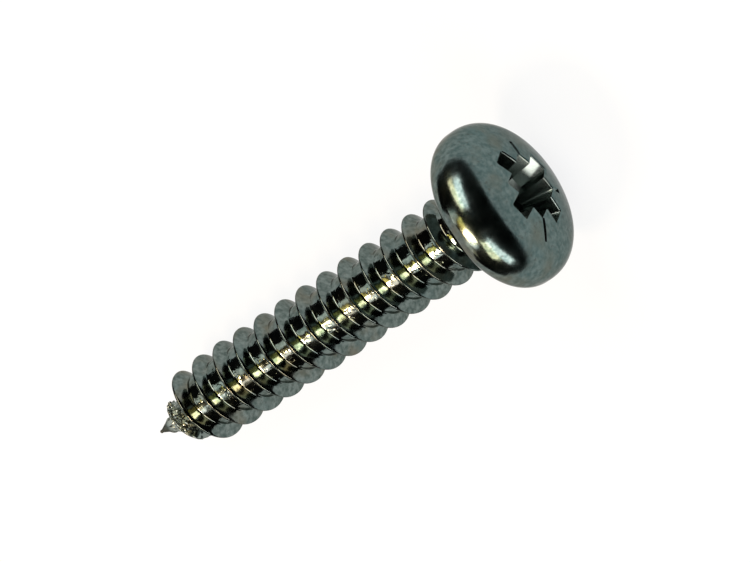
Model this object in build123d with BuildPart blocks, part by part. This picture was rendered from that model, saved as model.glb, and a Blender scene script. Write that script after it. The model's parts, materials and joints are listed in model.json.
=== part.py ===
from build123d import *
from math import asin, atan2, cos, degrees, hypot, radians, sin, sqrt, tan
import os

# Tapping screw for sheet metal, 4.8 x 25, pan head, cone point, cross recess of
# the kind with ribs between its wings. All lengths in mm, all angles in degrees.
# The screw is drawn upright: the seat of the head lies in XY, the point hangs
# below it on -Z, and the crown is above it. At the end it is laid down to rest.

# shank and thread
shank_length = 24.9            # from the seat of the head to the point
thread_diameter = 4.73         # over the crests
root_diameter = 3.5
thread_pitch = 1.6
flank_angle = 60.0             # included angle of the thread form
crest_width = 0.1              # narrow land left on top of the thread
crest_station = 2.03           # below the seat, where a crest passes the upper side
thread_end = 1.4               # full thread stays at least this far below the seat
runout_length = 0.7            # and fades into the neck over this length
core_overlap = 0.45            # how deep the thread's foot is sunk into the core
runout_sink = 0.05             # how far the crest ends below the core's skin

# cone point
cone_angle = 46.0              # included angle of the point
start_height = 0.9             # above the very point, where the thread begins
start_diameter = 1.07          # over the crest at its beginning
growth_height = 3.45           # above the very point, where the crest is full

# neck under the head
neck_flare = 0.65

# pan head
head_diameter = 9.4
head_height = 3.7
side_height = 2.3              # above the seat, where side and crown would meet unrounded
shoulder_radius = 1.8
edge_radius = 1.15             # large round below the widest line of the head
edge_angle = 59.0              # how far that round turns before the seat cuts it
shoulder_share = 0.98          # the most of its room that the shoulder's round may take

# cross recess
recess_turn = 21.0             # of its first wing from the lower side
recess_span = 4.76             # across two wings, at the crown's skin
recess_shift = 0.25            # of its middle from the screw's axis, to the upper side
recess_depth = 2.6
wing_width = 1.12
wing_draft = 2.5
wing_end_slope = 21.5          # of the wing ends from the axis
rib_span = 4.0                 # across the corners of the middle, between the wings
rib_draft = 11.0
bottom_cone_angle = 124.0      # included angle of the recess bottom
bottom_radius = 0.35
rib_depth = 2.08               # from the crown, where the ribs reach the middle
blank_margin = 1.0             # spare length of the wing blanks past the mouth, at each end

crest_radius = thread_diameter / 2
root_radius = root_diameter / 2
head_radius = head_diameter / 2
half_flank = radians(flank_angle / 2)
point_z = -shank_length
growth_top = point_z + growth_height
half_turns = int((-thread_end - growth_top) / (thread_pitch / 2))
thread_top = growth_top + half_turns * thread_pitch / 2
runout_top = thread_top + runout_length
foot_radius = root_radius - core_overlap


def crest_direction(z):
    """Angle about the screw's axis of the crest at the height z; a right-hand thread."""
    return 180 + 360 * (z + crest_station) / thread_pitch


def thread_plane(z):
    """Plane through the axis and the crest at the height z: X outwards, Y towards the head."""
    turn = radians(crest_direction(z))
    return Plane(
        origin=(0, 0, z),
        x_dir=(cos(turn), sin(turn), 0),
        z_dir=(sin(turn), -cos(turn), 0),
    )


def half_width(radius, crest):
    return crest_width / 2 + (crest - radius) * tan(half_flank)


def thread_section(z, foot, crest):
    """One trapezoid of the thread, from its foot inside the core to its crest."""
    with BuildSketch(thread_plane(z)) as section:
        with BuildLine():
            Polyline(
                (foot, -half_width(foot, crest)),
                (crest, -crest_width / 2),
                (crest, crest_width / 2),
                (foot, half_width(foot, crest)),
                close=True,
            )
        make_face()
    return section.sketch


def thread_path(bottom, top):
    """The helix between two heights, begun in the direction of the crest there."""
    path = Edge.make_helix(thread_pitch, top - bottom, root_radius, center=(0, 0, bottom))
    return path.rotate(Axis.Z, crest_direction(bottom))


# foot and crest where the thread begins on the cone, and where it ends at the neck
cone_rise = tan(radians(cone_angle / 2))
start_z = point_z + start_height
start_crest = start_diameter / 2
start_foot = start_height * cone_rise / 2
end_crest = root_radius - runout_sink
end_foot = foot_radius

# pan head: the seat cuts the edge round, then side, shoulder and crown
seat_outer = head_radius - edge_radius * (1 - cos(radians(edge_angle)))
edge_top = edge_radius * sin(radians(edge_angle))
seat_inner = root_radius + neck_flare
crown_rise = head_height - side_height
crown_radius = (head_radius**2 + crown_rise**2) / (2 * crown_rise)
# the largest shoulder round that still ends above the edge round
crown_drop = edge_top + crown_radius - head_height
shoulder_room = (crown_radius**2 - head_radius**2 - crown_drop**2) / (2 * (crown_radius - head_radius))
shoulder_round = min(shoulder_radius, shoulder_share * shoulder_room)
cone_top = point_z + root_radius / cone_rise

wing_blank = recess_span + 2 * blank_margin

with BuildPart() as driver_recess:
    with BuildSketch(Plane.XY.offset(head_height)):
        Rectangle(wing_blank, wing_width, rotation=recess_turn)
        Rectangle(wing_blank, wing_width, rotation=recess_turn + 90)
    extrude(amount=-recess_depth, taper=wing_draft)
    # envelope of the driver's point: sloping wing ends and a conical bottom
    skin_drop = crown_radius - sqrt(crown_radius**2 - (recess_span / 2) ** 2)
    skin_z = head_height - skin_drop
    mouth_radius = recess_span / 2 + skin_drop * tan(radians(wing_end_slope))
    floor_z = head_height - recess_depth
    bottom_slope = tan(radians(bottom_cone_angle / 2))
    end_slope = tan(radians(wing_end_slope))
    knee_drop = (mouth_radius - bottom_radius - recess_depth * bottom_slope) / (end_slope - bottom_slope)
    knee_radius = mouth_radius - knee_drop * end_slope
    with BuildSketch(Plane.XZ):
        with BuildLine():
            Polyline(
                (0, floor_z),
                (bottom_radius, floor_z),
                (knee_radius, head_height - knee_drop),
                (mouth_radius, head_height),
                (0, head_height),
                close=True,
            )
        make_face()
    revolve(axis=Axis.Z, mode=Mode.INTERSECT)
    with BuildSketch(Plane.XY.offset(head_height)):
        Rectangle(rib_span / sqrt(2), rib_span / sqrt(2), rotation=recess_turn)
    extrude(amount=-rib_depth, taper=rib_draft)

with BuildPart() as half_turn:
    # one half turn of the full thread
    sweep(
        thread_section(growth_top, foot_radius, crest_radius),
        path=thread_path(growth_top, growth_top + thread_pitch / 2),
        is_frenet=True,
    )

with BuildPart() as upright:
    # core, neck and head, turned in one profile
    with BuildSketch(Plane.XZ) as profile:
        with BuildLine():
            Polyline((0, head_height), (0, point_z), (root_radius, cone_top), (root_radius, -neck_flare))
            Bezier((root_radius, -neck_flare), (root_radius, 0), (seat_inner, 0))
            Line((seat_inner, 0), (seat_outer, 0))
            RadiusArc((seat_outer, 0), (head_radius, edge_top), -edge_radius)
            Line((head_radius, edge_top), (head_radius, side_height))
            RadiusArc((head_radius, side_height), (0, head_height), -crown_radius)
        make_face()
        shoulder = profile.vertices().sort_by(Axis.X)[-2:].sort_by(Axis.Y)[-1]
        fillet(shoulder, radius=shoulder_round)
    revolve(axis=Axis.Z)
    # thread: growing on the cone, full along the shank, fading out at the neck
    sweep(
        [
            thread_section(start_z, start_foot, start_crest),
            thread_section(growth_top, foot_radius, crest_radius),
        ],
        path=thread_path(start_z, growth_top),
        multisection=True,
        is_frenet=True,
    )
    with Locations(*[Location((0, 0, k * thread_pitch / 2), (0, 0, k * 180)) for k in range(half_turns)]):
        add(half_turn.part)
    sweep(
        [
            thread_section(thread_top, foot_radius, crest_radius),
            thread_section(runout_top, end_foot, end_crest),
        ],
        path=thread_path(thread_top, runout_top),
        multisection=True,
        is_frenet=True,
    )
    with Locations((-recess_shift, 0, 0)):
        add(driver_recess.part, mode=Mode.SUBTRACT)

# at rest: the rim of the head and the last full crest near the point touch the ground
lowest_crest = growth_top + (-growth_top - crest_station + thread_pitch / 2) % thread_pitch
reach = edge_top - lowest_crest
drop = head_radius - edge_radius - crest_radius
tilt = degrees(atan2(drop, reach) + asin(edge_radius / hypot(drop, reach)))
laid = Rotation(0, 90 - tilt, 0) * upright.part
box = laid.bounding_box()
ground = Location((-box.center().X, -box.center().Y, -box.min.Z))

with BuildPart() as screw:
    add(ground * laid)
screw.part.label = "screw"

os.makedirs("parts", exist_ok=True)
export_step(screw.part, "parts/screw.step")
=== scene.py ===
import bpy
import bmesh
import json
from math import asin, cos, hypot, pi, radians, sin, sqrt, tan
from mathutils import Matrix, Vector, noise


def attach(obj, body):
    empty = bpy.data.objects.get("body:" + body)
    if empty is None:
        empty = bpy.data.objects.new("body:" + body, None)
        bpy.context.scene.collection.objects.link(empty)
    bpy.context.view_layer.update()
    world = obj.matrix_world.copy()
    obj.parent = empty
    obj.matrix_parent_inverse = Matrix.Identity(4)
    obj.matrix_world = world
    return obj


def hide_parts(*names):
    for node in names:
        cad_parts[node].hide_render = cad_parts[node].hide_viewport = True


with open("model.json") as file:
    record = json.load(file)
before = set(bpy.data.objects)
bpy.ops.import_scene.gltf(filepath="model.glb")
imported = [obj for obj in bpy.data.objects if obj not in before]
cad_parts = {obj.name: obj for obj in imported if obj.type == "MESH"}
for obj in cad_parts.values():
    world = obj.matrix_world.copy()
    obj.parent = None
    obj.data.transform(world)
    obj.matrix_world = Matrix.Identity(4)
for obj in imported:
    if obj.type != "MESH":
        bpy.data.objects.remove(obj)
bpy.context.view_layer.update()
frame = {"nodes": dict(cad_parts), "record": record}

# sizes of the screw in millimetres, drawn upright: seat at Z = 0, point on -Z
SHANK_LENGTH = 24.9
CREST_RADIUS = 2.365
ROOT_RADIUS = 1.75
PITCH = 1.6
SLOPE = tan(radians(30))
CREST_LAND = 0.1
CREST_CORNER = 0.05
FOOT_FILLET = 0.1
CREST_STATION = 2.03
THREAD_TOP = -1.45
RUNOUT_LENGTH = 0.7
RUNOUT_CREST = 1.70
CONE_RISE = tan(radians(23))
START_HEIGHT = 0.9
START_CREST = 0.535
GROWTH_HEIGHT = 3.45
NECK_FLARE = 0.65
HEAD_RADIUS = 4.7
HEAD_HEIGHT = 3.7
SIDE_HEIGHT = 2.3
SHOULDER_RADIUS = 1.8
EDGE_RADIUS = 1.15
EDGE_TURN = radians(59)
RECESS_TURN = radians(21)
RECESS_SPAN = 4.76
RECESS_SHIFT = 0.25
RECESS_DEPTH = 2.6
WING_WIDTH = 1.12
WING_DRAFT = radians(2.5)
WING_END_SLOPE = radians(21.5)
RIB_SPAN = 4.0
RIB_DEPTH = 2.08
RIB_DRAFT = radians(11)
BOTTOM_SLOPE = tan(radians(62))
BOTTOM_RADIUS = 0.35
LIP = 0.13
# the band between shank and neck that joins both
NECK_BAND = 0.03
# heights above the very point, where the torn metal begins and where it ends
TORN_IN = (0.85, 1.1)
TORN_OUT = (2.1, 2.8)
# the bead: where the cone is cut off for it, its rings by height and radius, and its upper end
BEAD_CUT = 0.24
BEAD_RINGS = ((0.19, 0.1), (0.14, 0.098), (0.1, 0.082), (0.07, 0.05), (0.06, 0.0))
BEAD_TOP = (0.1, 0.22)
# where the plain cone ends and the thread begins to show
PLAIN_CONE = (0.75, 0.95)
# strokes beside the recess: which quarter, how far out they reach, how deep they go
STROKES = ((0, 3.15, 0.13), (1, 2.6, 0.06), (2, 2.8, 0.08), (3, 2.65, 0.06))
STROKE_INSET = 0.08
STROKE_WIDTH = 0.3
# the blanks that shape the recess: how far out they reach, where the crown's blank begins
# above the seat, how far the wings rise past the crown, and the round of their upright edges
BLANK_RADIUS = 3.6
ENVELOPE_RADIUS = 3.4
BLANK_FLOOR = 0.2
WING_TOP = 0.6
WING_ROUND = 0.09
# walls of the recess are marked inside this radius, for the material
RECESS_ZONE = 3.1

# marks on the vertices: their place on the ridge, and the zones that the material reads
MARKS = ("place", "side", "crest_land", "thread_root", "torn", "recess", "head", "point")

# fineness of the meshes
TURN_STEPS = 96
HEAD_STEPS = 192
ENVELOPE_STEPS = 96
# vertices closer than this are welded
WELD = 0.0004
# places on the thread's outline, from the middle of the crest to the middle of the root
PLACES = (0, 0.6, 1, 1.33, 1.67, 2, 2.2, 2.4, 2.6, 2.8, 3, 3.25, 3.5, 3.75, 4, 4.2, 4.45, 4.7, 5)

# the setting, in metres: distance of the lamps, the floor and how much of its white is plain
LAMP_REACH = 0.5
FLOOR_SIZE = 1.5
FLOOR_GAP = 0.00002
FLOOR_WHITE = 0.86

# the camera: its direction from the screw's axis, its roll, its focal length in millimetres,
# and where it sees the middle of the seat, in metres to the right, down and away
CAMERA_TURN = radians(58.949)
CAMERA_ROLL = radians(33.709)
CAMERA_LENS = 251.3
SEAT_SEEN = (0.0058382, -0.0034333, 0.27714)

POINT_Z = -SHANK_LENGTH
CROWN_RISE = HEAD_HEIGHT - SIDE_HEIGHT
CROWN_RADIUS = (HEAD_RADIUS**2 + CROWN_RISE**2) / (2 * CROWN_RISE)
CROWN_CENTRE = HEAD_HEIGHT - CROWN_RADIUS


def crown_height(x, y):
    """Height of the crown's skin above the seat."""
    return CROWN_CENTRE + sqrt(CROWN_RADIUS**2 - x * x - y * y)


def between(low, high, value):
    """0 below low, 1 above high, and an even rise from one to the other."""
    return min(1.0, max(0.0, (value - low) / (high - low)))


def vertices_of(result):
    return [g for g in result if isinstance(g, bmesh.types.BMVert)]


def edges_of(result):
    return [g for g in result if isinstance(g, bmesh.types.BMEdge)]


def open_edges(mesh):
    return [e for e in mesh.edges if e.is_boundary]


def away_from_axis(vert):
    """Level direction from the screw's axis to a vertex."""
    return Vector((vert.co.x, vert.co.y, 0)).normalized()


def full_turn(mesh, steps):
    """Turns the outline drawn so far once about the screw's axis."""
    bmesh.ops.spin(
        mesh,
        geom=mesh.verts[:] + mesh.edges[:],
        cent=(0, 0, 0),
        axis=(0, 0, 1),
        angle=2 * pi,
        steps=steps,
        use_merge=True,
        use_duplicate=False,
    )


def turn_mesh(mesh, turn):
    bmesh.ops.rotate(mesh, verts=mesh.verts, cent=(0, 0, 0), matrix=Matrix.Rotation(turn, 3, "Z"))


# the shank with its thread


def core_radius(height):
    return max(0.0, min(ROOT_RADIUS, (height - POINT_Z) * CONE_RISE))


def full_crest(height):
    """Radius of the crest where it passes this height on its way up the screw."""
    start = POINT_Z + START_HEIGHT
    growth = between(start, POINT_Z + GROWTH_HEIGHT, height)
    grown = START_CREST + (CREST_RADIUS - START_CREST) * growth
    fade_in = between(start - 0.12 * PITCH, start + 0.05 * PITCH, height)
    fade_out = between(THREAD_TOP, THREAD_TOP + RUNOUT_LENGTH, height)
    crest = core_radius(height) + (grown - core_radius(height)) * fade_in
    return crest + (RUNOUT_CREST - crest) * fade_out


def flank_foot(height, crest, side):
    """Radius at which a flank meets the core; on the cone it lies lower towards the point."""
    reach = height - POINT_Z + side * (CREST_LAND / 2 + crest * SLOPE)
    return max(0.0, min(ROOT_RADIUS, crest, CONE_RISE * reach / (1 + side * CONE_RISE * SLOPE)))


def ridge_outline(place, ridge):
    """Step from the crest's middle and drop below it, for a place on the outline of the ridge:
    0 middle of the crest, 1 to 2 its rounded corner, 3 to 4 the rounded foot, 5 middle of the root."""
    foot_step = CREST_LAND / 2 + ridge * SLOPE
    corner = CREST_CORNER * between(0, 0.15, ridge)
    fillet = min(FOOT_FILLET * between(0, 0.3, ridge), (PITCH / 2 - foot_step - 0.02) / SLOPE)
    corner_cut = corner * SLOPE
    fillet_cut = fillet * SLOPE
    if place <= 1:
        return place * (CREST_LAND / 2 - corner_cut), 0.0
    if place <= 2:
        turn = radians(60) * (place - 1)
        return CREST_LAND / 2 - corner_cut + corner * sin(turn), corner * (1 - cos(turn))
    if place <= 3:
        high = corner_cut * cos(radians(30))
        low = ridge - fillet_cut * cos(radians(30))
        drop = high + (low - high) * (place - 2)
        return CREST_LAND / 2 + drop * SLOPE, drop
    if place <= 4:
        turn = radians(60) * (4 - place)
        return foot_step + fillet_cut - fillet * sin(turn), ridge - fillet * (1 - cos(turn))
    return foot_step + fillet_cut + (place - 4) * (PITCH / 2 - foot_step - fillet_cut), ridge


def torn_share(height):
    """Where the rolled thread is pinched off above the point, the metal is torn and lumpy."""
    above = height - POINT_Z
    return between(*TORN_IN, above) * (1 - between(*TORN_OUT, above))


def place_on_thread(vert, place, side):
    """Moves a point of the plain ridge to its radius and height, also on the cone and at the neck."""
    plain_step = ridge_outline(place, CREST_RADIUS - ROOT_RADIUS)[0]
    crest_height = vert.co.z - side * plain_step
    crest = full_crest(crest_height)
    foot = flank_foot(crest_height, crest, side)
    step, drop = ridge_outline(place, crest - foot)
    height = max(POINT_Z, crest_height + side * step)
    core = core_radius(height)
    radius = core if place > 4 else max(core, crest - drop)
    radius = core + (radius - core) * between(0, 0.1, crest - core_radius(crest_height))
    out = away_from_axis(vert)
    vert.co = (out.x * radius, out.y * radius, height)
    # lumps where the metal is torn, and slight waves elsewhere
    torn = torn_share(height)
    rough = 0.13 * noise.noise(vert.co * 3.7) + 0.12 * noise.noise(vert.co * 7.3)
    wave = 0.008 * noise.noise(vert.co * 1.1) + 0.004 * noise.noise(vert.co * 4.0)
    shift = torn * rough * between(0, 0.5, radius) + wave * between(0, 0.6, radius)
    vert.co += out * shift + Vector((0, 0, 0.6 * torn * rough))


def mark_head(mesh, mark):
    """Marks how much each vertex belongs to the head, and to the walls of its recess."""
    for vert in mesh.verts:
        vert[mark["head"]] = between(0, 2.5, vert.co.z)
        if hypot(vert.co.x, vert.co.y) < RECESS_ZONE and vert.co.z > 0.5:
            below = crown_height(vert.co.x, vert.co.y) - vert.co.z
            vert[mark["recess"]] = between(0.04, 0.12, below)


def draw_first_turn(mesh, mark, start_height):
    """One pitch of the outline of core and thread, spun one turn up the helix."""
    turn = radians(180 + 360 * (start_height + CREST_STATION) / PITCH)
    chain = []
    outline = [(place, -1) for place in reversed(PLACES[1:])] + [(place, 1) for place in PLACES]
    for place, side in outline:
        step, drop = ridge_outline(place, CREST_RADIUS - ROOT_RADIUS)
        radius = CREST_RADIUS - drop
        vert = mesh.verts.new((radius * cos(turn), radius * sin(turn), start_height + side * step))
        vert[mark["place"]] = place
        vert[mark["side"]] = side
        # the crest's land is marked for the painted shade line along the crests
        vert[mark["crest_land"]] = 1.0 if place <= 1 else 0.0
        vert[mark["thread_root"]] = between(3.4, 4.0, place)
        chain.append(vert)
    edges = [mesh.edges.new(pair) for pair in zip(chain, chain[1:])]
    bmesh.ops.spin(
        mesh,
        geom=chain + edges,
        cent=(0, 0, 0),
        axis=(0, 0, 1),
        dvec=(0, 0, PITCH / TURN_STEPS),
        angle=2 * pi,
        steps=TURN_STEPS,
        use_merge=False,
        use_duplicate=False,
    )


def cut_shank(mesh, head, height, above):
    """Cuts the shank square at a height and clears what lies above it, or else below it."""
    shank = [v for v in mesh.verts if v not in head]
    edges = {e for v in shank for e in v.link_edges}
    faces = {f for v in shank for f in v.link_faces}
    bmesh.ops.bisect_plane(
        mesh,
        geom=shank + list(edges) + list(faces),
        dist=0.00001,
        plane_co=(0, 0, height),
        plane_no=(0, 0, 1),
        clear_outer=above,
        clear_inner=not above,
    )


def draw_out_bead(mesh):
    """Draws the cut end of the cone out to the small blunt bead at the very point."""
    tip_loop = [e for e in open_edges(mesh) if e.verts[0].co.z < POINT_Z + 1]
    for height, radius in BEAD_RINGS:
        tip_loop = edges_of(bmesh.ops.extrude_edge_only(mesh, edges=tip_loop)["geom"])
        for vert in {v for e in tip_loop for v in e.verts}:
            out = away_from_axis(vert)
            vert.co = (out.x * radius, out.y * radius, POINT_Z + height)
    bead = [v for v in mesh.verts if v.co.z < POINT_Z + 0.15]
    bmesh.ops.remove_doubles(mesh, verts=bead, dist=WELD)


def turn_shank(mesh):
    """The threaded shank: one turn repeated up to the neck, then fitted to the cone and the neck."""
    mark = {name: mesh.verts.layers.float.new(name) for name in MARKS}
    mark_head(mesh, mark)
    head = set(mesh.verts)
    start_height = POINT_Z - 0.5 * PITCH
    draw_first_turn(mesh, mark, start_height)
    first_turn = [v for v in mesh.verts if v not in head]
    first_turn += [e for e in mesh.edges if e.verts[0] not in head]
    first_turn += [f for f in mesh.faces if f.verts[0] not in head]
    turns = round((THREAD_TOP + RUNOUT_LENGTH - start_height) / PITCH) + 1
    for k in range(1, turns + 1):
        turned = bmesh.ops.duplicate(mesh, geom=first_turn)["geom"]
        bmesh.ops.translate(mesh, verts=vertices_of(turned), vec=(0, 0, k * PITCH))
    shank = [v for v in mesh.verts if v not in head]
    for vert in shank:
        place_on_thread(vert, vert[mark["place"]], vert[mark["side"]])
        vert[mark["torn"]] = torn_share(vert.co.z)
    bmesh.ops.remove_doubles(mesh, verts=shank, dist=WELD)
    cut_shank(mesh, head, -NECK_FLARE - NECK_BAND, True)
    cut_shank(mesh, head, POINT_Z + BEAD_CUT, False)
    draw_out_bead(mesh)
    # 1 on the bead, a half on the plain cone, 0 above it
    for vert in mesh.verts:
        above = vert.co.z - POINT_Z
        vert[mark["point"]] = 1 - between(*BEAD_TOP, above) / 2 - between(*PLAIN_CONE, above) / 2


# the head


def swing(mesh, vert, centre, turn, steps):
    """Draws an arc in the XZ plane from a vertex about a centre and gives its far end."""
    arc = bmesh.ops.spin(
        mesh,
        geom=[vert],
        cent=(centre[0], 0, centre[1]),
        axis=(0, 1, 0),
        angle=turn,
        steps=steps,
        use_merge=False,
        use_duplicate=False,
    )["geom_last"]
    return vertices_of(arc)[0]


def line_to(mesh, vert, x, z, parts=1):
    """Draws a straight line in the XZ plane and gives its far end."""
    start = vert.co.copy()
    for k in range(1, parts + 1):
        step = mesh.verts.new(start.lerp(Vector((x, 0, z)), k / parts))
        mesh.edges.new((vert, step))
        vert = step
    return vert


def turn_head(mesh):
    """The head and its neck: half of the outline, spun once about the axis."""
    flare = NECK_FLARE
    seat_outer = HEAD_RADIUS - EDGE_RADIUS * (1 - cos(EDGE_TURN))
    edge_top = EDGE_RADIUS * sin(EDGE_TURN)
    shoulder_x = HEAD_RADIUS - SHOULDER_RADIUS
    shoulder_z = CROWN_CENTRE + sqrt((CROWN_RADIUS - SHOULDER_RADIUS) ** 2 - shoulder_x**2)
    crown_turn = asin(shoulder_x / (CROWN_RADIUS - SHOULDER_RADIUS))
    vert = mesh.verts.new((ROOT_RADIUS, 0, -flare))
    for k in range(1, 11):
        t = k / 10
        vert = line_to(mesh, vert, ROOT_RADIUS + flare * t * t, -flare * (1 - t) ** 2)
    vert = line_to(mesh, vert, seat_outer, 0, 4)
    vert = swing(mesh, vert, (HEAD_RADIUS - EDGE_RADIUS, edge_top), -EDGE_TURN, 12)
    vert = line_to(mesh, vert, HEAD_RADIUS, shoulder_z, 2)
    vert = swing(mesh, vert, (shoulder_x, shoulder_z), -(pi / 2 - crown_turn), 16)
    vert = swing(mesh, vert, (0, CROWN_CENTRE), -crown_turn, 22)
    vert.co.x = 0
    full_turn(mesh, HEAD_STEPS)
    bmesh.ops.remove_doubles(mesh, verts=mesh.verts, dist=WELD)
    bmesh.ops.holes_fill(mesh, edges=open_edges(mesh), sides=0)


def finished_mesh(mesh, name):
    """Welds, points the faces outwards and keeps the result."""
    bmesh.ops.remove_doubles(mesh, verts=mesh.verts, dist=0.0002)
    bmesh.ops.recalc_face_normals(mesh, faces=mesh.faces)
    data = bpy.data.meshes.new(name)
    mesh.to_mesh(data)
    mesh.free()
    return data


def new_piece(name, data):
    piece = bpy.data.objects.new(name, data)
    bpy.context.scene.collection.objects.link(piece)
    return piece


# the driver's recess


def tapered_block(name, width, depth, drop, draft_x, draft_y, turn):
    """A block hanging from above the crown, narrowing downwards by its drafts."""
    mesh = bmesh.new()
    bmesh.ops.create_cube(mesh, size=1)
    for vert in mesh.verts:
        below = drop if vert.co.z < 0 else -WING_TOP
        half_x = width / 2 - below * tan(draft_x)
        half_y = depth / 2 - below * tan(draft_y)
        x = half_x if vert.co.x > 0 else -half_x
        y = half_y if vert.co.y > 0 else -half_y
        vert.co = (x, y, HEAD_HEIGHT - below)
    upright_edges = [e for e in mesh.edges if abs(e.verts[0].co.z - e.verts[1].co.z) > 0.5]
    bmesh.ops.bevel(
        mesh,
        geom=upright_edges,
        offset=WING_ROUND,
        offset_type="OFFSET",
        segments=3,
        profile=0.5,
        affect="EDGES",
        material=-1,
    )
    turn_mesh(mesh, turn)
    return new_piece(name, finished_mesh(mesh, name))


def combined(target, tool, operation):
    """Joins, cuts or intersects two closed pieces and drops the tool."""
    change = target.modifiers.new(operation.lower(), "BOOLEAN")
    change.operation = operation
    change.solver = "EXACT"
    change.object = tool
    bpy.context.view_layer.update()
    changed = target.evaluated_get(bpy.context.evaluated_depsgraph_get())
    done = bpy.data.meshes.new_from_object(changed)
    target.modifiers.clear()
    target.data = done
    bpy.data.objects.remove(tool)
    return target


def lathe(name, outline):
    """A closed solid turned from a few corners, given as radius and height."""
    mesh = bmesh.new()
    vert = mesh.verts.new((outline[0][0], 0, outline[0][1]))
    for x, z in outline[1:]:
        vert = line_to(mesh, vert, x, z)
    full_turn(mesh, ENVELOPE_STEPS)
    return new_piece(name, finished_mesh(mesh, name))


def crown_blank(depth):
    """What lies deeper than this below the crown's skin, as a solid."""
    mesh = bmesh.new()
    vert = mesh.verts.new((0, 0, BLANK_FLOOR))
    vert = line_to(mesh, vert, BLANK_RADIUS, BLANK_FLOOR)
    radius = CROWN_RADIUS - depth
    turn = asin(BLANK_RADIUS / radius)
    vert = line_to(mesh, vert, BLANK_RADIUS, CROWN_CENTRE + radius * cos(turn))
    swing(mesh, vert, (0, CROWN_CENTRE), -turn, 40).co.x = 0
    full_turn(mesh, HEAD_STEPS)
    return new_piece("crown_blank", finished_mesh(mesh, "crown_blank"))


def rim_normals(rim):
    """The level direction into the metal at each vertex of the rim, one for each wall there."""
    outward = {}
    for edge in rim:
        flat = edge.link_faces[0].normal.copy()
        flat.z = 0
        for vert in edge.verts:
            outward.setdefault(vert, []).append((flat.normalized(), edge.other_vert(vert).co.copy()))
    return outward


def lip_place(base, flat, spread, corners):
    """Where a point of the rim comes when the rim grows; it stays behind the metal's corners."""
    grown = base + flat * spread
    for corner, first, last in corners:
        if 0.0001 < (base - corner).length < 0.3:
            other = last if flat.dot(first) > flat.dot(last) else first
            grown += other * max(0.0, spread - (base - corner).dot(other))
    return grown


def flared(piece):
    """Lets the recess flare out to the crown in a rounded lip, and closes it above the crown."""
    mesh = bmesh.new()
    mesh.from_mesh(piece.data)
    bmesh.ops.remove_doubles(mesh, verts=mesh.verts, dist=0.001)
    centre = Vector((0, 0, CROWN_CENTRE))
    radius = CROWN_RADIUS - LIP
    on_skin = {v for v in mesh.verts if abs((v.co - centre).length - radius) < 0.002}
    top = [f for f in mesh.faces if all(v in on_skin for v in f.verts)]
    bmesh.ops.delete(mesh, geom=top, context="FACES")
    loop = open_edges(mesh)
    start = {}
    corners = []
    for vert, walls in rim_normals(loop).items():
        first, first_end = walls[0]
        last = walls[1][0]
        start[vert] = (vert.co.copy(), (first + last) / (1 + first.dot(last)))
        if first.dot(last) < 0.5 and (first_end - vert.co).dot(last) > 0:
            corners.append((vert.co.copy(), first, last))
    carried = {v: v for v in start}
    lip_turns = [radians(90) * k / 6 for k in range(1, 7)]
    levels = [(LIP * (1 - cos(t)), LIP * sin(t)) for t in lip_turns]
    levels += [(LIP, LIP + 0.03), (LIP, None)]
    for spread, rise in levels:
        grown = bmesh.ops.extrude_edge_only(mesh, edges=loop)["geom"]
        above = {}
        for vert in vertices_of(grown):
            for edge in vert.link_edges:
                if edge.other_vert(vert) in carried:
                    above[vert] = carried[edge.other_vert(vert)]
        for vert, origin in above.items():
            base, flat = start[origin]
            vert.co = lip_place(base, flat, spread, corners)
            if rise is None:
                vert.co.z = HEAD_HEIGHT + 0.4
            else:
                vert.co.z = crown_height(vert.co.x, vert.co.y) - LIP + rise
        carried = above
        loop = edges_of(grown)
    bmesh.ops.remove_doubles(mesh, verts=mesh.verts, dist=0.0005)
    bmesh.ops.holes_fill(mesh, edges=open_edges(mesh), sides=0)
    piece.data = finished_mesh(mesh, "driver_point")
    return piece


def mark_stroke(turn, inner, outer, depth):
    """A pointed stroke struck into the crown between two wings."""
    mesh = bmesh.new()
    bmesh.ops.create_cone(mesh, cap_ends=True, segments=4, radius1=0.01, radius2=STROKE_WIDTH, depth=0.3)
    turn_mesh(mesh, radians(45))
    for vert in mesh.verts:
        reach = inner if vert.co.x < 0 else outer
        lower = vert.co.z < 0
        skin = crown_height(reach, 0)
        vert.co.x = reach
        vert.co.z = skin - depth if lower else skin + 0.12
    turn_mesh(mesh, turn)
    return new_piece("stroke", finished_mesh(mesh, "stroke"))


def driver_point():
    """The recess as a solid: four wings in a sloping envelope, and ribs between them."""
    skin_drop = HEAD_HEIGHT - crown_height(RECESS_SPAN / 2, 0)
    end_slope = tan(WING_END_SLOPE)
    mouth = RECESS_SPAN / 2 + skin_drop * end_slope
    span = 2 * mouth
    drop = RECESS_DEPTH + 0.2
    wing = tapered_block("wing", span, WING_WIDTH, drop, WING_END_SLOPE, WING_DRAFT, RECESS_TURN)
    cross = tapered_block("cross", WING_WIDTH, span, drop, WING_DRAFT, WING_END_SLOPE, RECESS_TURN)
    wings = combined(wing, cross, "UNION")
    floor_drop = (ENVELOPE_RADIUS - BOTTOM_RADIUS) / BOTTOM_SLOPE
    bottom = HEAD_HEIGHT - RECESS_DEPTH
    top = HEAD_HEIGHT + 0.5
    envelope = lathe(
        "envelope",
        (
            (0, bottom),
            (BOTTOM_RADIUS, bottom),
            (ENVELOPE_RADIUS, bottom + floor_drop),
            (ENVELOPE_RADIUS, top),
            (0, top),
        ),
    )
    wings = combined(wings, envelope, "INTERSECT")
    middle = RIB_SPAN / sqrt(2)
    ribs = tapered_block("ribs", middle, middle, RIB_DEPTH, RIB_DRAFT, RIB_DRAFT, RECESS_TURN)
    point = combined(wings, ribs, "UNION")
    point.data.transform(Matrix.Translation((-RECESS_SHIFT, 0, 0)))
    return flared(combined(point, crown_blank(LIP), "INTERSECT"))


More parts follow.
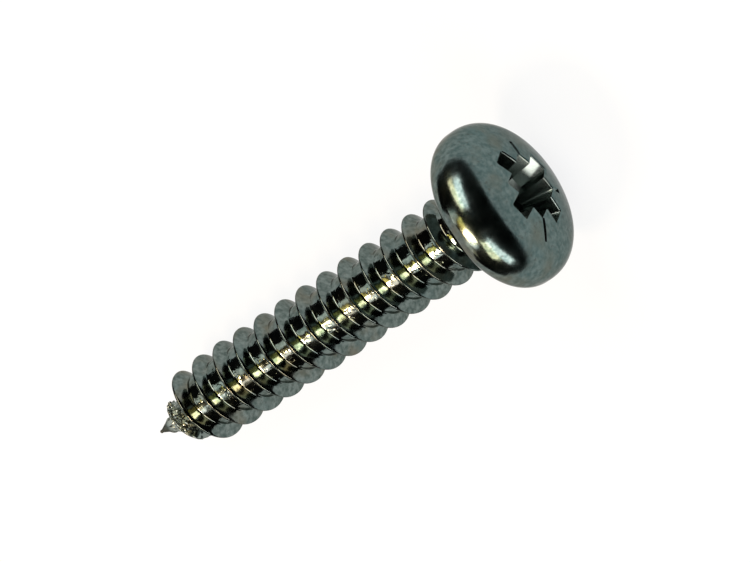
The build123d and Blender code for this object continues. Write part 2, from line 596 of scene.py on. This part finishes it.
# the head gets its recess first, then the shank is drawn below it and both are welded
mesh = bmesh.new()
turn_head(mesh)
screw = combined(new_piece("zinc_screw", finished_mesh(mesh, "head")), driver_point(), "DIFFERENCE")
for quarter, outer, depth in STROKES:
    stroke_turn = pi + RECESS_TURN + pi / 4 + quarter * pi / 2
    stroke = mark_stroke(stroke_turn, RIB_SPAN / 2 - STROKE_INSET, outer, depth)
    stroke.data.transform(Matrix.Translation((-RECESS_SHIFT, 0, 0)))
    screw = combined(screw, stroke, "DIFFERENCE")
mesh = bmesh.new()
mesh.from_mesh(screw.data)
neck_cap = [f for f in mesh.faces if max(v.co.z for v in f.verts) < -NECK_FLARE + 0.001]
bmesh.ops.delete(mesh, geom=neck_cap, context="FACES_ONLY")
turn_shank(mesh)
bmesh.ops.bridge_loops(mesh, edges=open_edges(mesh))
screw.data = finished_mesh(mesh, "zinc_screw")

# smooth shading, with a crease where the walls of the recess meet the lip
for polygon in screw.data.polygons:
    polygon.use_smooth = True
screw.data.set_sharp_from_angle(angle=radians(33))
crown_centre = Vector((0, 0, CROWN_CENTRE))
from_centre = [(v.co - crown_centre).length for v in screw.data.vertices]
for edge in screw.data.edges:
    if all(abs(from_centre[v] - CROWN_RADIUS + LIP) < 0.003 for v in edge.vertices):
        edge.use_edge_sharp = True

# the screw is laid down where the seat of the head says
mounts = {m["name"]: m for m in frame["record"]["mounts"]}
seat = Vector(mounts["seat"]["pos_m"])
seat.y = 0
up_the_axis = -Vector(mounts["seat"]["axis"])
side = Vector((0, 1, 0))
lay_down = Matrix((side.cross(up_the_axis), side, up_the_axis)).transposed().to_4x4()
screw.data.transform(Matrix.Translation(seat) @ lay_down @ Matrix.Scale(0.001, 4))


# materials


def cloud(nodes, links, where, scale, detail):
    """A cloud pattern in object space, in patches of about 1/scale metres."""
    noisy = nodes.new("ShaderNodeTexNoise")
    noisy.inputs["Scale"].default_value = scale
    noisy.inputs["Detail"].default_value = detail
    links.new(where.outputs["Object"], noisy.inputs["Vector"])
    return noisy.outputs["Fac"]


def zone(nodes, name):
    """How much a point belongs to one of the zones marked on the mesh."""
    mark = nodes.new("ShaderNodeAttribute")
    mark.attribute_name = name
    return mark.outputs["Fac"]


def ramp(nodes, links, source, low, high, low_value, high_value):
    """Even change between two values while the source goes from low to high."""
    fade = nodes.new("ShaderNodeMapRange")
    fade.inputs["From Min"].default_value = low
    fade.inputs["From Max"].default_value = high
    fade.inputs["To Min"].default_value = low_value
    fade.inputs["To Max"].default_value = high_value
    links.new(source, fade.inputs["Value"])
    return fade.outputs["Result"]


def tinted(nodes, links, amount, base, colour):
    """Lays a colour over the colour below it by an amount."""
    mix = nodes.new("ShaderNodeMix")
    mix.data_type = "RGBA"
    links.new(amount, mix.inputs["Factor"])
    links.new(base, mix.inputs["A"])
    mix.inputs["B"].default_value = (*colour, 1)
    return mix.outputs["Result"]


def raised(nodes, links, base, amount, share):
    """Adds a share of an amount to a value."""
    step = nodes.new("ShaderNodeMath")
    step.operation = "MULTIPLY_ADD"
    step.inputs[1].default_value = share
    links.new(amount, step.inputs[0])
    links.new(base, step.inputs[2])
    return step.outputs[0]


def relief(nodes, links, height, distance):
    """Raises the surface by a pattern, up to a distance in metres."""
    bump = nodes.new("ShaderNodeBump")
    bump.inputs["Distance"].default_value = distance
    links.new(height, bump.inputs["Height"])
    return bump


def zinc_plate():
    """Bright zinc over steel: grey with a green cast, cloudy, with olive stains, fine pits and a painted
    shade line along the crests.
    """
    metal = bpy.data.materials.new("zinc_plate")
    metal.use_nodes = True
    nodes = metal.node_tree.nodes
    links = metal.node_tree.links
    shader = nodes["Principled BSDF"]
    shader.inputs["Metallic"].default_value = 1.0
    shader.inputs["Specular Tint"].default_value = (0.6, 0.6, 0.58, 1)
    where = nodes.new("ShaderNodeTexCoord")
    head = zone(nodes, "head")
    torn = zone(nodes, "torn")
    point = zone(nodes, "point")
    clouds = nodes.new("ShaderNodeValToRGB")
    clouds.color_ramp.elements[0].position = 0.34
    clouds.color_ramp.elements[0].color = (0.07, 0.098, 0.09, 1)
    clouds.color_ramp.elements[1].position = 0.66
    clouds.color_ramp.elements[1].color = (0.17, 0.208, 0.197, 1)
    links.new(cloud(nodes, links, where, 3600, 6), clouds.inputs["Fac"])
    olive_stain = ramp(nodes, links, cloud(nodes, links, where, 520, 4), 0.5, 0.68, 0, 0.75)
    cold_bloom = ramp(nodes, links, cloud(nodes, links, where, 610, 3), 0.56, 0.74, 0, 0.6)
    fine_pits = ramp(nodes, links, cloud(nodes, links, where, 5200, 2), 0.60, 0.72, 0, 0.55)
    # each layer lies over the ones before it: how much of it, and its colour
    layers = (
        (olive_stain, (0.15, 0.14, 0.104)),
        (cold_bloom, (0.10, 0.15, 0.148)),
        # the head is a little colder
        (ramp(nodes, links, head, 0, 1, 0, 0.35), (0.062, 0.13, 0.14)),
        (fine_pits, (0.07, 0.078, 0.07)),
        # torn metal near the point is paler
        (ramp(nodes, links, torn, 0.1, 1.0, 0, 0.75), (0.4, 0.44, 0.4)),
        # the plating stays bright inside the recess
        (ramp(nodes, links, zone(nodes, "recess"), 0.2, 1.0, 0, 0.8), (0.27, 0.31, 0.29)),
        # the plain cone of the point is darker, and its tip nearly black
        (ramp(nodes, links, point, 0, 0.5, 0, 0.8), (0.045, 0.05, 0.047)),
        (ramp(nodes, links, point, 0.55, 0.95, 0, 0.85), (0.02, 0.022, 0.02)),
        # the narrow land on the crest is dark: painted shade, a dark line along every crest that
        # outlines the thread's edges
        (ramp(nodes, links, zone(nodes, "crest_land"), 0.3, 0.9, 0, 0.8), (0.04, 0.042, 0.036)),
    )
    colour = clouds.outputs["Color"]
    for amount, tint in layers:
        colour = tinted(nodes, links, amount, colour, tint)
    links.new(colour, shader.inputs["Base Color"])
    # gloss: bright with satin patches, duller on the head, the torn metal and the plain cone
    gloss = ramp(nodes, links, cloud(nodes, links, where, 1100, 4), 0.3, 0.7, 0.06, 0.15)
    gloss = raised(nodes, links, gloss, head, 0.1)
    gloss = raised(nodes, links, gloss, torn, 0.16)
    gloss = raised(nodes, links, gloss, ramp(nodes, links, point, 0, 0.5, 0, 0.42), 1.0)
    links.new(gloss, shader.inputs["Roughness"])
    # fine grain over broad waves, and knobs in the roots of the thread
    grain = relief(nodes, links, cloud(nodes, links, where, 3600, 3), 0.000008)
    grain.inputs["Strength"].default_value = 0.3
    waves = relief(nodes, links, cloud(nodes, links, where, 620, 2), 0.00004)
    waves.inputs["Strength"].default_value = 0.35
    links.new(grain.outputs["Normal"], waves.inputs["Normal"])
    flakes = ramp(nodes, links, cloud(nodes, links, where, 1900, 2), 0.55, 0.8, 0, 1)
    knobs = relief(nodes, links, flakes, 0.00006)
    in_the_root = ramp(nodes, links, zone(nodes, "thread_root"), 0.5, 1.0, 0, 0.35)
    links.new(in_the_root, knobs.inputs["Strength"])
    links.new(waves.outputs["Normal"], knobs.inputs["Normal"])
    links.new(knobs.outputs["Normal"], shader.inputs["Normal"])
    return metal


def pale_floor():
    """Plain pale ground with a soft shadow; what looks at it sees nearly white."""
    ground = bpy.data.materials.new("pale_floor")
    ground.use_nodes = True
    nodes = ground.node_tree.nodes
    links = ground.node_tree.links
    paint = nodes["Principled BSDF"]
    paint.inputs["Base Color"].default_value = (0.72, 0.79, 0.86, 1)
    paint.inputs["Roughness"].default_value = 0.9
    glow = nodes.new("ShaderNodeEmission")
    glow.inputs["Strength"].default_value = 1.0
    path = nodes.new("ShaderNodeLightPath")
    seen = nodes.new("ShaderNodeMath")
    seen.operation = "MAXIMUM"
    links.new(path.outputs["Is Camera Ray"], seen.inputs[0])
    links.new(path.outputs["Is Glossy Ray"], seen.inputs[1])
    seen_all = nodes.new("ShaderNodeMath")
    seen_all.operation = "MAXIMUM"
    links.new(seen.outputs[0], seen_all.inputs[0])
    links.new(path.outputs["Is Transmission Ray"], seen_all.inputs[1])
    # the rest of the floor's white is paint in the lamps' light, which keeps the shadow
    part = nodes.new("ShaderNodeMath")
    part.operation = "MULTIPLY"
    part.inputs[1].default_value = FLOOR_WHITE
    links.new(seen_all.outputs[0], part.inputs[0])
    mix = nodes.new("ShaderNodeMixShader")
    links.new(part.outputs[0], mix.inputs["Fac"])
    links.new(paint.outputs["BSDF"], mix.inputs[1])
    links.new(glow.outputs["Emission"], mix.inputs[2])
    links.new(mix.outputs["Shader"], nodes["Material Output"].inputs["Surface"])
    return ground


zinc = zinc_plate()
screw.data.materials.clear()
screw.data.materials.append(zinc)
for node in frame["nodes"].values():
    node.data.materials.clear()
    node.data.materials.append(zinc)
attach(screw, "root")
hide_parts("screw")

# floor, lamps and camera
mesh = bmesh.new()
bmesh.ops.create_grid(mesh, x_segments=2, y_segments=2, size=FLOOR_SIZE)
bmesh.ops.translate(mesh, verts=mesh.verts, vec=(0, 0, -FLOOR_GAP))
floor = new_piece("floor", finished_mesh(mesh, "floor"))
floor.data.materials.append(pale_floor())



def lamp(name, turn, rise, wide, tall, radiance, colour):
    """A softbox that faces the screw; its direction and its apparent size are in degrees."""
    light = bpy.data.lights.new(name, "AREA")
    light.shape = "RECTANGLE"
    light.size = 2 * LAMP_REACH * tan(radians(wide / 2))
    light.size_y = 2 * LAMP_REACH * tan(radians(tall / 2))
    light.energy = radiance * pi * light.size * light.size_y
    light.color = colour
    post = bpy.data.objects.new(name, light)
    bpy.context.scene.collection.objects.link(post)
    turn = radians(turn)
    rise = radians(rise)
    towards = Vector((cos(turn) * cos(rise), sin(turn) * cos(rise), sin(rise)))
    post.location = towards * LAMP_REACH
    post.rotation_euler = towards.to_track_quat("Z", "Y").to_euler()


lamp("left_softbox_front", 79, 47, 22, 40, 5.7, (1, 0.92, 0.88))
lamp("left_softbox_back", 103, 46, 15, 42, 6.2, (1, 0.8, 0.52))
lamp("right_softbox_front", -86, 43, 20, 42, 5.7, (1, 0.92, 0.88))
lamp("right_softbox_back", -111, 48, 19, 30, 6.2, (1, 0.8, 0.52))
lamp("window_top", -163, 56.5, 16, 6, 92, (1, 0.73, 0.48))
lamp("window_middle", -154, 48, 15, 6, 4.5, (1, 0.9, 0.85))
lamp("window_side", 168, 57, 17, 6, 5, (1, 0.75, 0.22))
lamp("window_low", -157, 33, 18, 18, 0.8, (1, 0.95, 0.75))
lamp("back_board", 154, 44, 16, 14, 1.8, (1, 1, 0.9))
lamp("grey_card", 181, 22, 44, 44, 1.0, (1, 1, 1))

world = bpy.data.worlds.new("studio")
bpy.context.scene.world = world
world.use_nodes = True
world.node_tree.nodes["Background"].inputs["Color"].default_value = (0.008, 0.008, 0.008, 1)

# the camera looks down on the head's side, rolled with the screw
camera_data = bpy.data.cameras.new("camera")
camera_data.sensor_width = 36
camera_data.lens = CAMERA_LENS
camera_data.clip_start = 0.01
camera_data.clip_end = 20
camera = bpy.data.objects.new("camera", camera_data)
bpy.context.scene.collection.objects.link(camera)
bpy.context.scene.camera = camera
across_axis = Vector((-up_the_axis.z, 0, up_the_axis.x))
beside_axis = Vector((0, -1, 0))
forward = -cos(CAMERA_TURN) * up_the_axis - sin(CAMERA_TURN) * across_axis
towards_head = sin(CAMERA_TURN) * up_the_axis - cos(CAMERA_TURN) * across_axis
right = cos(CAMERA_ROLL) * towards_head + sin(CAMERA_ROLL) * beside_axis
down = cos(CAMERA_ROLL) * beside_axis - sin(CAMERA_ROLL) * towards_head
seat_seen = Vector(SEAT_SEEN)
place = seat - right * seat_seen.x - down * seat_seen.y - forward * seat_seen.z
turn = Matrix((right, -down, -forward)).transposed().to_4x4()
camera.matrix_world = Matrix.Translation(place) @ turn

bpy.context.scene.view_settings.view_transform = "Standard"
